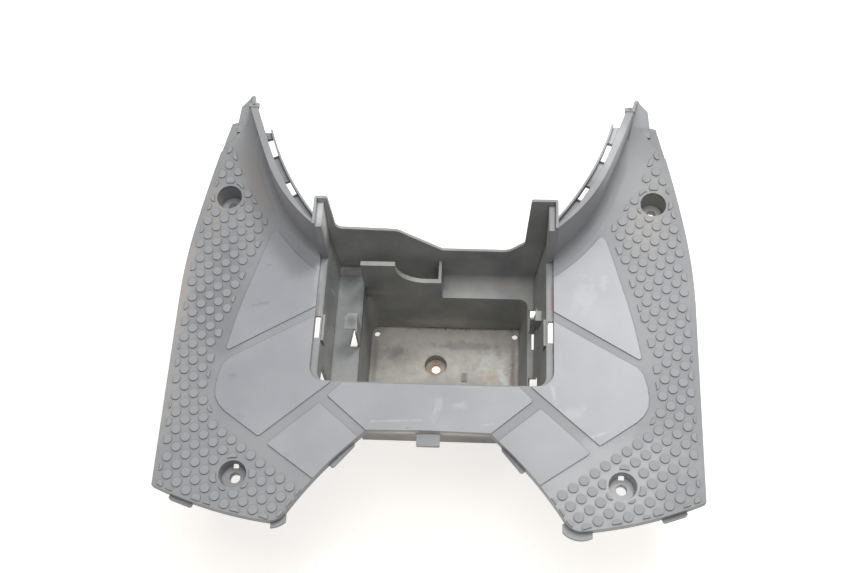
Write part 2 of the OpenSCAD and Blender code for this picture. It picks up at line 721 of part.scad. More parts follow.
// Screen wall at the far side of the bay, with the swept step in its top
module screen_wall() {
    along_y(bay_far_y, bay_far_y + screen_t) difference() {
        translate([-bay_left, -shelf_depth - bite])
            square([bay_left + screen_end_x, shelf_depth + bite]);
        translate([-34 + screen_r, -screen_drop + screen_r]) circle(r = screen_r, $fn = 96);
        translate([-34, -screen_drop + screen_r]) square([80, 80]);
        translate([-34 + screen_r, -screen_drop]) square([80, 80]);
    }
    difference() {
        translate([screen_end_x - wall, bay_far_y, -shelf_depth - bite])
            cube([wall, 40, shelf_depth + bite - screen_drop]);
        beyond_far_wall(wall / 2);
    }
}

module shelf_cove() {
    r = 10;
    y = far_wall_y - tray_draft * (shelf_depth - r) - r;
    difference() {
        along_x(screen_end_x - bite, tray_x(-shelf_depth) + wall / 2) difference() {
            translate([y, -shelf_depth - bite]) square([r + 2 * wall, r]);
            translate([y, -shelf_depth + r]) circle(r = r, $fn = 96);
        }
        beyond_far_wall(wall / 2);
    }
}

// Ribs under the floor of the bay, level with the foot of the screw seat
module floor_ribs() {
    x0 = -bay_left - wall;
    x1 = bay_right + wall;
    y0 = near_y - wall;
    y1 = bay_far_y + wall;
    translate([0, 0, -bay_depth - wall - seat_screw_depth])
        linear_extrude(seat_screw_depth + bite) {
            difference() {
                translate([x0, y0]) square([x1 - x0, y1 - y0]);
                translate([x0 + wall, y0 + wall]) square([x1 - x0 - 2 * wall, y1 - y0 - 2 * wall]);
            }
            for (x = [x0 + (x1 - x0) / 4, seat_screw_x, x1 - (x1 - x0) / 4])
                translate([x - wall / 2, y0 + bite]) square([wall, y1 - y0 - 2 * bite]);
            for (y = [seat_screw_y, (seat_screw_y + y0) / 2])
                translate([x0 + bite, y - wall / 2]) square([x1 - x0 - 2 * bite, wall]);
            translate([seat_screw_x, seat_screw_y]) circle(r = seat_screw_r + wall);
        }
}

module floor_cuts() {
    translate([seat_screw_x, seat_screw_y, -bay_depth - seat_screw_depth])
        cylinder(r = seat_screw_r, h = seat_screw_depth + 10);
    translate([seat_screw_x, seat_screw_y, -tread_z - 1]) cylinder(r = seat_hole_r, h = 20);
    for (x = [-bay_left + 5, bay_right - 4])
        translate([x, bay_far_y - 7, -bay_depth - wall - 1]) cylinder(r = drain_r, h = wall + 2);
}

// Latch that stands behind its window in a pocket, with its hook on the far side
latch_t = 1.8;
hook = 1.5;
left_latch = [-72.8, -22];
left_latch_top = -8;
left_latch_l = 13;
left_latch_tilt = 15;
left_latch_bevel = 3;
side_plate_t = 1.4;
side_plate_l = 15.6;
right_latch = [78.4, -13.7];
right_latch_w = 4.6;
right_latch_top = -29;
module latch(c, w, z0, z1) {
    along_x(c[0], c[0] + w) polygon([
        [c[1], z0 - bite], [c[1], z1], [c[1] + latch_t, z1], [c[1] + latch_t + hook, z1 - 3 * hook],
        [c[1] + latch_t, z1 - 4 * hook], [c[1] + latch_t, z0 - bite]]);
}

// Plate over the window of the left pocket, carried by an upright along the bay
module left_latch_plate() {
    w = -bay_left - side_plate_t - left_latch[0];
    end_z = left_latch_top - left_latch_l * sin(left_latch_tilt);
    translate([left_latch[0], left_latch[1], left_latch_top]) rotate([left_latch_tilt, 0, 0])
        translate([0, 0, -latch_t]) linear_extrude(latch_t) polygon([
            [left_latch_bevel, 0], [w + bite, 0], [w + bite, -left_latch_l], [0, -left_latch_l],
            [0, -left_latch_bevel]]);
    along_x(-bay_left - side_plate_t, -bay_left) polygon([
        [left_latch[1], -pocket_depth - bite], [left_latch[1], left_latch_top],
        [left_latch[1] - left_latch_l, end_z], [left_latch[1] - side_plate_l, end_z - 1],
        [left_latch[1] - side_plate_l, -pocket_depth - bite]]);
}

// Bracket on the outer wall of the right pocket: inner face, top, height and stations
bracket_x = 82;
bracket_top = -20;
bracket_h = 21;
bracket_y = [-19, -10];
module pocket_bracket() {
    along_y(bracket_y[0], bracket_y[1]) polygon([
        [bracket_x, bracket_top], [tray_x(bracket_top) + bite, bracket_top],
        [tray_x(bracket_top - bracket_h) + bite, bracket_top - bracket_h]]);
}

rib_t = 1.4;
rib_gap = 2.6;
floor_rib = [21, -34];
floor_rib_l = 8;
module pocket_fittings() {
    left_latch_plate();
    pocket_bracket();
    latch(right_latch, right_latch_w, -shelf_depth, right_latch_top);
    for (x = [0, rib_gap])
        translate([floor_rib[0] + x, floor_rib[1], -bay_depth - bite])
            cube([rib_t, floor_rib_l, rib_t + bite]);
}

// Windows in the right pocket, cut through the foot of its outer wall: from station to station
right_windows = [[1.2, 8.3], [-72, -55]];
right_window_h = 15.5;
// Window under the right latch: its offset from the latch, width and length
latch_window = [1.9, 3.1, 15.3];
// Sunk strip at the far end of the left pocket's floor
sunk_y = 27.5;
sunk_h = 1;
module pocket_cuts() {
    translate([0, 0, -pocket_depth - wall - 1]) linear_extrude(wall + 2) polygon([
        left_latch + [1.9, -side_plate_l], left_latch + [9.4, -side_plate_l],
        left_latch + [6.8, 0], left_latch + [4.2, 0]]);
    translate([-tray_x(-pocket_depth), sunk_y, -pocket_depth - sunk_h])
        cube([tray_x(-pocket_depth) - bay_left, far_wall_y - sunk_y, sunk_h + 1]);
    translate([right_latch[0] + latch_window[0], right_latch[1] - latch_window[2],
        -shelf_depth - wall - 1])
        cube([latch_window[1], latch_window[2], wall + 2]);
    for (w = right_windows)
        translate([right_latch[0] - 0.6, w[0], -shelf_depth - wall - 1])
            cube([12, w[1] - w[0], wall + 1 + right_window_h]);
    along_x(-tray_half_w - 2 * wall, -tray_x(-pocket_depth) + 1) polygon([
        [near_y + 2, -12], [near_y + 18, -14], [near_y + 12, -34], [near_y + 2, -34]]);
}

// Housing on the tray's wall under each clip window of the seat
housing_t = 2;
housing_w = 4;
housing_h = 11;
module clip_housing() {
    x = tray_half_w - housing_t - 0.2;
    translate([x, clip_window_y - housing_t, -seat_drop - housing_h])
        cube([housing_t, clip_window_len + 2 * housing_t, housing_h - bite]);
    for (y = [clip_window_y - housing_t, clip_window_y + clip_window_len])
        translate([x, y, -seat_drop - housing_h]) cube([housing_w, housing_t, housing_h - bite]);
}

// Strips of the seat left beside the clip windows
window_rim = [1.3, 0.3];
module clip_window() {
    translate([tray_half_w + window_rim[0], clip_window_y, -30])
        cube([seat_half_w - tray_half_w - window_rim[0] - window_rim[1], clip_window_len, 32]);
}

module screw_cup(c, depth) {
    translate([c[0], c[1], -depth - wall]) cylinder(r = cup_r + wall - 0.6, h = depth + rise(c[1]));
    translate([c[0], c[1], -depth - wall - cup_tube])
        cylinder(r = screw_r + wall, h = cup_tube + bite);
}

module cup_cut(c, depth) {
    translate([c[0], c[1], -depth]) cylinder(r1 = cup_r - 0.8, r2 = cup_r, h = depth);
    translate([c[0], c[1], -bite / 5]) cylinder(r = cup_r, h = 20);
    translate([c[0], c[1], -depth - wall - cup_tube - 1])
        cylinder(r = screw_r, h = 2 * (wall + cup_tube));
}

// Tab from p to q at the foot of the skirt, with a chamfer at each outer corner
tab_cut = [1, 1.6];
module edge_tab(p, q, reach) {
    d = (q - p) / norm(q - p);
    n = [d[1], -d[0]];
    translate([0, 0, -skirt_h]) linear_extrude(tab_t) polygon([
        p - wall * n, p + (reach - tab_cut[0]) * n, p + reach * n + tab_cut[1] * d,
        q + reach * n - tab_cut[1] * d, q + (reach - tab_cut[0]) * n, q - wall * n]);
}

// Hook under the right leg's end, between two distances from the middle of that end
module leg_hook(reach, x0, x1) {
    translate([0, 0, -skirt_h]) linear_extrude(tab_t) intersection() {
        translate(leg_tip_c) circle(r = leg_tip_r + reach, $fn = 96);
        translate(leg_tip_c + [x0, -2 * leg_tip_r]) square([x1 - x0, 1.5 * leg_tip_r]);
    }
}

// Tabs on the legs' inner edges, between two angles before the arch's corner
leg_tab_a = [0.2, 5.2];
leg_tab_turn = [1.6, -0.4];
// Tabs at the outer corners, between two angles before the corner
corner_tab_a = [6.1, 2.7];
module rear_tabs() {
    edge_tab([centre_tab_half_w, arch_y], [-centre_tab_half_w, arch_y], centre_tab_reach);
    leg_a = angle_at(leg_c, arch_corner);
    rear_a = angle_at(rear_c, rear_corner);
    both_sides() {
        edge_tab(polar(leg_c, leg_edge_r + leg_tab_turn[0], leg_a - leg_tab_a[0]),
            polar(leg_c, leg_edge_r + leg_tab_turn[1], leg_a - leg_tab_a[1]), leg_tab_reach);
        edge_tab(polar(rear_c, rear_edge_r, rear_a - corner_tab_a[0]),
            polar(rear_c, rear_edge_r, rear_a - corner_tab_a[1]), tab_reach);
    }
    leg_hook(hook_reach, -13.2, 8.7);
    mirror([1, 0, 0]) leg_hook(left_hook_reach, -12, -1);
}

// Stiffening ribs under the wings
wing_rib_t = 2;
wing_rib_rise = 1.5;
wing_rib_y = [-140, -100, -60, -20, 20, 60, 105];
wing_rib_in = [43.7, 83.7];
module wing_ribs() {
    intersection() {
        translate([0, 0, -skirt_h]) linear_extrude(60) intersection() {
            polygon(right_tread);
            union() {
                for (y = wing_rib_y) translate([seat_half_w, y]) square([reach_x, wing_rib_t]);
                for (d = wing_rib_in)
                    translate([half_w - d, rear_y]) square([wing_rib_t, 125 - rear_y]);
            }
        }
        sweep_band(-bite, -skirt_h + wing_rib_rise);
    }
}

// Square drain at the far side of each rear cup's floor: offset from the screw, and size
cup_drain = [-2.2, 7.6, 4.6, 5.2];
module moulding() {
    difference() {
        union() {
            tread_skin();
            edge_skirt();
            centre_panel();
            both_sides() {
                tongue();
                grip_dots();
                side_panels();
                horn_wall();
                cove();
                wing_ribs();
                screw_cup(cups[0], front_cup_depth);
                screw_cup(cups[1], rear_cup_depth);
            }
            rear_tabs();
        }
        both_sides() {
            cup_cut(cups[0], front_cup_depth);
            cup_cut(cups[1], rear_cup_depth);
            translate([rear_cup_x + cup_drain[0], rear_cup_y + cup_drain[1],
                -rear_cup_depth - wall - 1])
                cube([cup_drain[2], cup_drain[3], wall + 4]);
        }
        seat_cut();
    }
    difference() {
        union() {
            seat_ledge();
            tray();
            both_sides() post();
            both_sides() clip_housing();
        }
        both_sides() clip_window();
        pocket_cuts();
        floor_cuts();
    }
    far_wall();
    screen_wall();
    shelf_cove();
    difference() {
        floor_ribs();
        floor_cuts();
    }
    pocket_fittings();
    horn_flange(strip_tip_y);
    mirror([1, 0, 0]) horn_flange(left_strip_y);
}

module floorboard() {
    color(PLASTIC) translate([0, -mid_y, tread_z]) moulding();
}

floorboard();
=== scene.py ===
import bpy
import numpy as np
from mathutils import Euler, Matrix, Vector


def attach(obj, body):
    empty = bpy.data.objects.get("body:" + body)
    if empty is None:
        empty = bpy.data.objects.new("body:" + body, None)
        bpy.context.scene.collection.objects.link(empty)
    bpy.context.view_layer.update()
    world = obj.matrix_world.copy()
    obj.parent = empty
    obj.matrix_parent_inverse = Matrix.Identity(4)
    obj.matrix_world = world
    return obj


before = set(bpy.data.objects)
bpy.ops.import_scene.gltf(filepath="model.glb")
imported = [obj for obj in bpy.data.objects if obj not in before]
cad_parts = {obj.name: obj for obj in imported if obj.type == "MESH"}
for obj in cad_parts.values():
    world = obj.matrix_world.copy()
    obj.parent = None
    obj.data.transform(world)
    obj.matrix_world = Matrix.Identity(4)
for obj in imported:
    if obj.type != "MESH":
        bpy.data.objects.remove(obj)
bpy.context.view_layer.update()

# The view: a hand-held camera over the near edge of the board, looking down at the tread.
# Its place (m), turn (degrees) and lens (mm) follow from the square grid of the grip dots.
camera = bpy.data.objects.new("camera", bpy.data.cameras.new("camera"))
camera.location = (0.0482, -0.4069, 0.9458)
camera.rotation_euler = Euler(np.radians([27.294, 2.327, 2.614]))
camera.data.lens = 47.364
camera.data.sensor_width = 36
camera.data.clip_start = 0.05
bpy.context.scene.collection.objects.link(camera)
bpy.context.scene.camera = camera


# The floorboard: one injection moulding in polypropylene, dyed through. The mould etches a fine
# grain into the tread and leaves the raised panels smooth, so one material covers it all. Use has
# left dust between the dots, scuffs on the panels, and rust and battery stains in the tray.
mm = 0.001
tread_z = 129.5 * mm
rise_y = 62.85 * mm  # from here on the tread sweeps up, in a circle of radius rise_r
rise_r = 270 * mm
panel_h = 0.8 * mm
dot_h = 0.9 * mm
cove_h = 12 * mm  # the cove at a horn's foot ends this high above the tread
cove_x = 100 * mm  # and this far to the side
bay_floor_z = 11.5 * mm
tray_half_w = 91.2 * mm
tray_near_y = -71.5 * mm
far_wall_y = 56.85 * mm  # its outer face at the height of the tread
far_wall_lean = 0.15
far_wall_foot = far_wall_y - far_wall_lean * tread_z

# Marks darker or lighter than the plastic, some left by use and some of painted light and shade:
# place, reach along x, y and z (mm), turn about z (degrees), colour, strength, how ragged the edge
# is (0 to 1), size of its rags (mm).
# First dust on the tread between the dots, and plain grey patches there, darker in the middle of
# the left wing and paler on the right wing; far is a reach beyond the whole board
far = 400
dust_and_grey_patches = [
    ((-172, -5, 130), (34, 85, far), 4, "828386", 0.65, 0.8, 22),
    ((-206, 5, 130), (13, 75, far), 1, "b0aba3", 0.70, 0.7, 14),
    ((-201, -85, 130), (10, 60, far), -2, "a8a5a0", 0.50, 0.7, 12),
    ((-190, 78, 130), (13, 40, far), 8, "a6a29b", 0.55, 0.6, 12),
    ((-150, 108, 140), (30, 50, far), 22, "9c9690", 0.60, 0.6, 34),
    ((174, 66, 130), (26, 36, far), 0, "b2aea4", 0.60, 0.7, 12),
    ((180, 112, 130), (14, 34, far), 8, "acaa9f", 0.55, 0.6, 10),
    ((150, 120, 140), (60, 36, far), 0, "a7a8a9", 0.60, 0.5, 30),
    ((165, -30, 130), (45, 60, far), 0, "a8a9aa", 0.45, 0.7, 26),
    ((130, -150, 130), (90, 60, far), 20, "bdbebf", 0.80, 0.5, 30),
]
# Dark smears, pale scuffs and two small pits on the smooth panels
panel_marks = [
    ((-141, -7, 130), (11, 2.4, 6), 14, "7f8186", 0.40, 0.9, 3),
    ((-138, 29, 130), (4, 2, 6), 0, "7d7f84", 0.35, 0.8, 3),
    ((-156, -70, 130), (5, 4.6, 6), 0, "7f8186", 0.35, 0.8, 3),
    ((-146, -104, 130), (4.5, 4.5, 6), 0, "85878c", 0.28, 0.8, 3),
    ((-106, -134, 130), (4.5, 4, 6), 0, "8b8d91", 0.28, 0.8, 3),
    ((6, -93, 130), (4, 15, 6), -14, "c6c7c9", 0.30, 1.0, 4),
    ((24, -90, 130), (8, 4, 6), 10, "c6c7c9", 0.28, 1.0, 3),
    ((-26, -104, 130), (29, 1.4, 6), 3, "c4c5c7", 0.35, 1.0, 5),
    ((45, -105, 130), (7, 1.6, 6), 4, "c6c7c9", 0.30, 0.9, 3),
    ((-16, -109.5, 130), (1.6, 1.2, 6), 20, "6a6b6e", 0.60, 0.4, 2),
    ((136, 20, 130), (5, 9, 6), -12, "cfcfd0", 0.22, 1.0, 4),
    ((120, 8, 130), (12, 20, 6), -10, "c8c8c9", 0.20, 1.0, 7),
    ((95, -77, 130), (2.4, 12, 6), 14, "d2d3d4", 0.30, 1.0, 3),
    ((128, -111, 130), (12, 1.8, 6), 24, "d2d3d4", 0.30, 1.0, 3),
    ((108, -95, 130), (16, 8, 6), 30, "cacbcc", 0.22, 1.0, 6),
    ((150, -60, 130), (2.4, 2.4, 6), 0, "a2a4a7", 0.40, 0.4, 2),
]
# Dirt, dust and rust in the tray and paler wear on a tab; painted shadow at the far end of the left
# pocket; painted light, paler, on the far wall, the near outer wall, the arch's skirt, the seat's
# rim, a post and a horn
tray_marks = [
    ((-90, 5, 108), (5, 60, 24), 0, "727374", 0.60, 0.4, 12),
    ((-74, 0, 88), (22, 90, 7), 0, "73767a", 0.65, 0.5, 16),
    # Painted shadow: the far end of the left pocket, dark where its walls shade it
    ((-74, 38, 88), (18, 18, 7), 0, "3c3e40", 0.70, 0.5, 12),
    ((-62, -4, 88), (5, 60, 7), 0, "4c4e51", 0.60, 0.4, 10),
    # Painted light: the far wall paler at its left
    ((-40, 60, 112), (62, 14, 30), 0, "b9bab8", 0.50, 0.6, 24),
    ((-67.5, -15, 119), (7, 9, 5), 0, "5c6066", 0.75, 0.2, 4),
    # Painted light: a pale warm coat on the tray's near outer wall for the paper's bounce light
    ((0, -74, 60), (120, 4, 90), 0, "c6bcb1", 0.80, 0.5, 30),
    # Painted light: the arch's skirt paler, for the paper's bounce light from below
    ((0, -112, 125), (66, 3, 4.4), 0, "d8d6d3", 0.85, 0.1, 12),
    # Painted highlight along the seat's rim
    ((-97, 15, 127), (4, 46, 5), 0, "c4c4c5", 0.70, 0.4, 10),
    # Painted light on the left post's face
    ((-93, 56, 160), (7, 22, 32), 0, "dcdee0", 0.85, 0.2, 12),
    # Painted highlight on the right horn's wall
    ((140, 125, 170), (30, 56, 20), 0, "d0d1d2", 0.80, 0.3, 24),
    ((94.6, 4, 128), (1.6, 24, 5), 0, "86705a", 0.75, 0.7, 5),
    ((95, -40, 128), (1.2, 5, 5), 0, "86705a", 0.60, 0.6, 4),
    ((-94.4, -8, 128), (1.3, 30, 5), 0, "837361", 0.50, 0.8, 6),
    ((-45, 31, 81), (17, 3, 7), 0, "b2b0a9", 0.55, 0.8, 6),
    ((-30, 31, 60), (20, 3, 9), 0, "a4a29a", 0.30, 0.8, 8),
    ((59, 47.5, 74), (9, 6, 3), 0, "b08f6c", 0.85, 0.8, 4),
    ((50, 50, 74), (10, 3, 3), 0, "9b8b70", 0.60, 0.9, 4),
    ((-87, 18, 105), (2, 2, 10), 0, "c9c3b8", 0.75, 0.9, 3),
    ((-84.5, 47, 90), (3, 5, 3), 0, "beb8ac", 0.70, 0.9, 2.5),
    ((-75, 51.5, 94), (8, 3, 1.4), 0, "b9b4aa", 0.60, 0.9, 2.5),
    ((-74, 46, 89.5), (9, 5, 3), 0, "8d7d68", 0.75, 0.6, 5),
    ((-156, -150, 120), (1.6, 5, 2), 20, "cfc3a8", 0.75, 0.5, 3),
]
# Battery crust on the bay's floor, grime along its edges and rust in the screw seat
floor_marks = [
    ((-5, 20, 11.5), (80, 20, 4), 0, "dcd8d0", 0.70, 0.7, 20),
    ((0, -28, 11.5), (80, 20, 4), 0, "a09c95", 0.60, 0.7, 16),
    ((50, -5, 11.5), (19, 20, 4), 20, "e2e2de", 0.60, 1.0, 5),
    ((58, -18, 11.5), (5, 20, 4), 14, "ececea", 0.70, 1.0, 3),
    ((46, -16, 11.5), (10, 8, 4), 0, "cbb994", 0.50, 0.8, 6),
    ((-39, 5, 11.5), (13, 9, 4), 0, "818284", 0.55, 0.9, 6),
    ((24, 14, 11.5), (46, 6, 4), 0, "8e8e8f", 0.45, 1.0, 7),
    ((-58, -22, 11.5), (3.6, 60, 4), 0, "8f8c87", 0.60, 0.5, 6),
    ((66, -22, 11.5), (3, 60, 4), 0, "7d7164", 0.60, 0.6, 6),
    ((-3, -6.15, 8), (13, 13, 14), 0, "8a6a4e", 0.60, 0.5, 4),
    ((-3, -6.15, 1), (10.5, 10.5, 5), 0, "a97a4d", 0.90, 0.4, 4),
    ((10, 30.5, 12.5), (70, 2.6, 1.6), 0, "5d4c3f", 0.70, 1.0, 3),
    ((2, 31, 24), (40, 4, 12), 0, "c0bdb4", 0.50, 1.0, 7),
]


def linear(code):
    """Linear colour with alpha from an sRGB hex code."""
    value = np.array([int(code[i : i + 2], 16) for i in (0, 2, 4)]) / 255
    value = np.where(value <= 0.04045, value / 12.92, ((value + 0.055) / 1.055) ** 2.4)
    return (*value, 1.0)


def add(tree, kind, sockets=None, out=0, **settings):
    """Output of a new shader node. Its sockets take values, or outputs of other nodes."""
    made = tree.nodes.new("ShaderNode" + kind)
    for name, value in settings.items():
        setattr(made, name, value)
    for name, value in (sockets or {}).items():
        if isinstance(value, bpy.types.NodeSocket):
            tree.links.new(value, made.inputs[name])
        else:
            made.inputs[name].default_value = value
    return made.outputs[out]


# Sockets of a Mix node for colours, where share is how much of the second one, and its settings
share, first, second = 0, 6, 7
blend = {"out": 2, "data_type": "RGBA"}


def stains_and_painted_light(tree, colour, where, marks, only):
    """Colour with marks on it, of use and of painted light and shade, where the mask only is 1. A
    mark fills an ellipsoid: the length of the point, moved, turned and divided by the mark's reach,
    plus noise, is up to 0.2 where the mark is full and 1 where it ends. The noise is 0.5 on
    average, times swing."""
    for place, reach, turn, tint, strength, ragged, rag in marks:
        swing = 2.4 * ragged
        local = add(tree, "Mapping", {"Vector": where, "Location": np.array(place) * mm,
                                      "Rotation": (0, 0, np.radians(turn)),
                                      "Scale": np.array(reach) * mm}, vector_type="TEXTURE")
        length = add(tree, "VectorMath", {0: local}, out="Value", operation="LENGTH")
        rags = add(tree, "TexNoise", {"Vector": where, "Scale": 1 / (rag * mm), "Detail": 4.0,
                                      "Roughness": 0.65})
        length = add(tree, "Math", {0: rags, 1: swing, 2: length}, operation="MULTIPLY_ADD")
        mask = add(tree, "MapRange", {"Value": length, "From Min": 0.2 + swing / 2,
                                      "From Max": 1.0 + swing / 2, "To Min": strength,
                                      "To Max": 0.0}, interpolation_type="SMOOTHSTEP")
        mask = add(tree, "Math", {0: mask, 1: only}, operation="MULTIPLY")
        colour = add(tree, "Mix", {share: mask, first: colour, second: linear(tint)}, **blend)
    return colour


def polypropylene():
    """Moulded polypropylene: satin where the mould is etched, glossier on the smooth panels."""
    made = bpy.data.materials.new("moulded polypropylene")
    made.use_nodes = True
    tree = made.node_tree
    shader = tree.nodes["Principled BSDF"]
    where = add(tree, "TexCoord", out="Object")
    x, y, z = (add(tree, "SeparateXYZ", {0: where}, out=axis) for axis in "XYZ")
    side = add(tree, "Math", {0: x}, operation="ABSOLUTE")

    # Height above the tread: z - tread_z, less the tread's own rise past rise_y, where it sweeps up
    # in a circle, rise_r - sqrt(rise_r^2 - ahead^2)
    ahead = add(tree, "Math", {0: y, 1: rise_y}, operation="SUBTRACT")
    ahead = add(tree, "Math", {0: ahead, 1: 0.0}, operation="MAXIMUM")
    root = add(tree, "Math", {0: ahead, 1: ahead}, operation="MULTIPLY")
    root = add(tree, "Math", {0: rise_r**2, 1: root}, operation="SUBTRACT")
    root = add(tree, "Math", {0: root}, operation="SQRT")
    height = add(tree, "Math", {0: z, 1: root}, operation="ADD")
    height = add(tree, "Math", {0: height, 1: tread_z + rise_r}, operation="SUBTRACT")

    # Masks, 1 where they hold and 0 elsewhere, with a short fade. A panel is on the flat and a
    # little lower than a dot; what else stands up to 3 mm proud wears like the dots
    middle = (panel_h + dot_h) / 2
    proud = add(tree, "MapRange", {"Value": height, "From Min": 0.4 * mm, "From Max": 0.7 * mm})
    low = add(tree, "MapRange", {"Value": height, "From Min": 3 * mm, "From Max": 2 * mm})
    under_dot = add(tree, "MapRange", {"Value": height, "From Min": middle + 0.02 * mm,
                                       "From Max": middle - 0.02 * mm})
    flat = add(tree, "MapRange", {"Value": ahead, "From Min": 2 * mm, "From Max": 1 * mm})
    on_panel = add(tree, "Math", {0: proud, 1: under_dot}, operation="MULTIPLY")
    on_panel = add(tree, "Math", {0: on_panel, 1: flat}, operation="MULTIPLY")
    on_dot = add(tree, "Math", {0: proud, 1: low}, operation="MULTIPLY")
    on_dot = add(tree, "Math", {0: on_dot, 1: on_panel}, operation="SUBTRACT")
    on_ground = add(tree, "MapRange", {"Value": height, "From Min": 0.6 * mm,
                                       "From Max": 0.4 * mm})

    # Inside the tray: between its side walls, past its near wall, before its leaning far wall
    upright = add(tree, "Math", {0: z, 1: -far_wall_lean, 2: y}, operation="MULTIPLY_ADD")
    before_far = add(tree, "MapRange", {"Value": upright, "From Min": far_wall_foot + 1.2 * mm,
                                        "From Max": far_wall_foot + 0.8 * mm})
    past_near = add(tree, "MapRange", {"Value": y, "From Min": tray_near_y - 0.4 * mm,
                                       "From Max": tray_near_y + 0.4 * mm})
    in_tray = add(tree, "MapRange", {"Value": side, "From Min": tray_half_w + 0.4 * mm,
                                     "From Max": tray_half_w - 0.4 * mm})
    in_tray = add(tree, "Math", {0: in_tray, 1: before_far}, operation="MULTIPLY")
    in_tray = add(tree, "Math", {0: in_tray, 1: past_near}, operation="MULTIPLY")
    on_floor = add(tree, "MapRange", {"Value": z, "From Min": bay_floor_z + 0.8 * mm,
                                      "From Max": bay_floor_z + 0.3 * mm})
    on_floor = add(tree, "Math", {0: on_floor, 1: in_tray}, operation="MULTIPLY")

    # Etched tread greyed by the sun in soft patches, worn dots, panels bluer and lighter
    patches = add(tree, "TexNoise", {"Vector": where, "Scale": 1 / (45 * mm), "Detail": 4.0})
    patches = add(tree, "MapRange", {"Value": patches, "From Min": 0.35, "From Max": 0.65})
    tread = add(tree, "Mix", {share: patches, first: linear("959699"),
                              second: linear("9e9fa1")}, **blend)
    panel = add(tree, "Mix", {share: patches, first: linear("989a9f"),
                              second: linear("a3a4a9")}, **blend)
    tread = stains_and_painted_light(tree, tread, where, dust_and_grey_patches, on_ground)
    tread = add(tree, "Mix", {share: on_dot, first: tread, second: linear("9fa0a3")}, **blend)
    colour = add(tree, "Mix", {share: on_panel, first: tread, second: panel}, **blend)
    colour = stains_and_painted_light(tree, colour, where, panel_marks, on_panel)

    # Inside, the tray gets its own colour in dusty patches, from a little darker to a little
    # lighter than the tread, set for the light deep in the tray: painted light and shade. The bay's
    # floor is
    # paler still: grey battery crust, lightened further as painted light.
    film = add(tree, "TexNoise", {"Vector": where, "Scale": 1 / (40 * mm), "Detail": 6.0,
                                  "Roughness": 0.55})
    film = add(tree, "MapRange", {"Value": film, "From Min": 0.3, "From Max": 0.7})
    inside_painted_light = add(tree, "Mix", {share: film, first: linear("828485"),
                               second: linear("a8a8a4")}, **blend)
    crust = add(tree, "TexNoise", {"Vector": where, "Scale": 1 / (9 * mm), "Detail": 6.0,
                                   "Roughness": 0.7})
    crust = add(tree, "MapRange", {"Value": crust, "From Min": 0.35, "From Max": 0.65})
    bay_floor_crust_and_painted_light = add(tree, "Mix", {share: crust, first: linear("b4b0a8"),
                               second: linear("cdc9c1")}, **blend)
    inside_painted_light = add(tree, "Mix", {share: on_floor, first: inside_painted_light, second: bay_floor_crust_and_painted_light}, **blend)
    colour = add(tree, "Mix", {share: in_tray, first: colour, second: inside_painted_light}, **blend)
    colour = stains_and_painted_light(tree, colour, where, tray_marks + floor_marks, 1.0)

    # Painted shade, with the dirt that no cloth reaches: darker in a strip of 1 mm along every
    # inside corner and dot, where little ambient light gets in
    corner = add(tree, "AmbientOcclusion", {"Distance": 2.2 * mm}, out="AO", samples=6,
                 only_local=True)
    shade_and_dirt = add(tree, "MapRange", {"Value": corner, "From Min": 0.88, "From Max": 0.58,
                                  "To Max": 0.5})
    colour = add(tree, "Mix", {share: shade_and_dirt, first: colour, second: linear("434446")}, **blend)
    tree.links.new(colour, shader.inputs["Base Color"])

    rough = add(tree, "MapRange", {"Value": on_panel, "To Min": 0.55, "To Max": 0.34})
    tree.links.new(rough, shader.inputs["Roughness"])
    shader.inputs["IOR"].default_value = 1.49

    # Edges as soft as a mould's cutter leaves them. The cove at the foot of each horn, above the
    # dots and outside the seat, is one smooth hollow, so its corners are rounded off more
    over_dots = add(tree, "MapRange", {"Value": height, "From Min": dot_h + 0.05 * mm,
                                       "From Max": 2 * mm})
    under_top = add(tree, "MapRange", {"Value": height, "From Min": cove_h + 1 * mm,
                                       "From Max": cove_h - 1 * mm})
    outside = add(tree, "MapRange", {"Value": side, "From Min": cove_x - 1 * mm,
                                     "From Max": cove_x + 1 * mm})
    in_cove = add(tree, "Math", {0: over_dots, 1: under_top}, operation="MULTIPLY")
    in_cove = add(tree, "Math", {0: in_cove, 1: outside}, operation="MULTIPLY")
    radius = add(tree, "MapRange", {"Value": in_cove, "To Min": 0.5 * mm, "To Max": 3 * mm})
    edge = add(tree, "Bevel", {"Radius": radius}, samples=8)

    # Etched grain of 0.9 mm, coarser than the real one, which wouldn't show
    grain = add(tree, "TexNoise", {"Vector": where, "Scale": 1 / (0.9 * mm), "Detail": 2.0})
    depth = add(tree, "MapRange", {"Value": on_panel, "To Min": 0.5, "To Max": 0.15})
    bump = add(tree, "Bump", {"Height": grain, "Distance": 0.05 * mm, "Strength": depth,
                              "Normal": edge})
    tree.links.new(bump, shader.inputs["Normal"])
    return made


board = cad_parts["floorboard"]
board.data.materials.clear()
board.data.materials.append(polypropylene())


# The tongue at the middle of the arch: a flat tab, moulded on at the foot of the skirt, that slips
# under the next panel. The solid has only its root, so its length is made here.
tongue_low = np.array([-9.0, -121.65, 121.5]) * mm
tongue_high = np.array([9.0, -109.5, 124.5]) * mm
tongue_blunt = 0.12


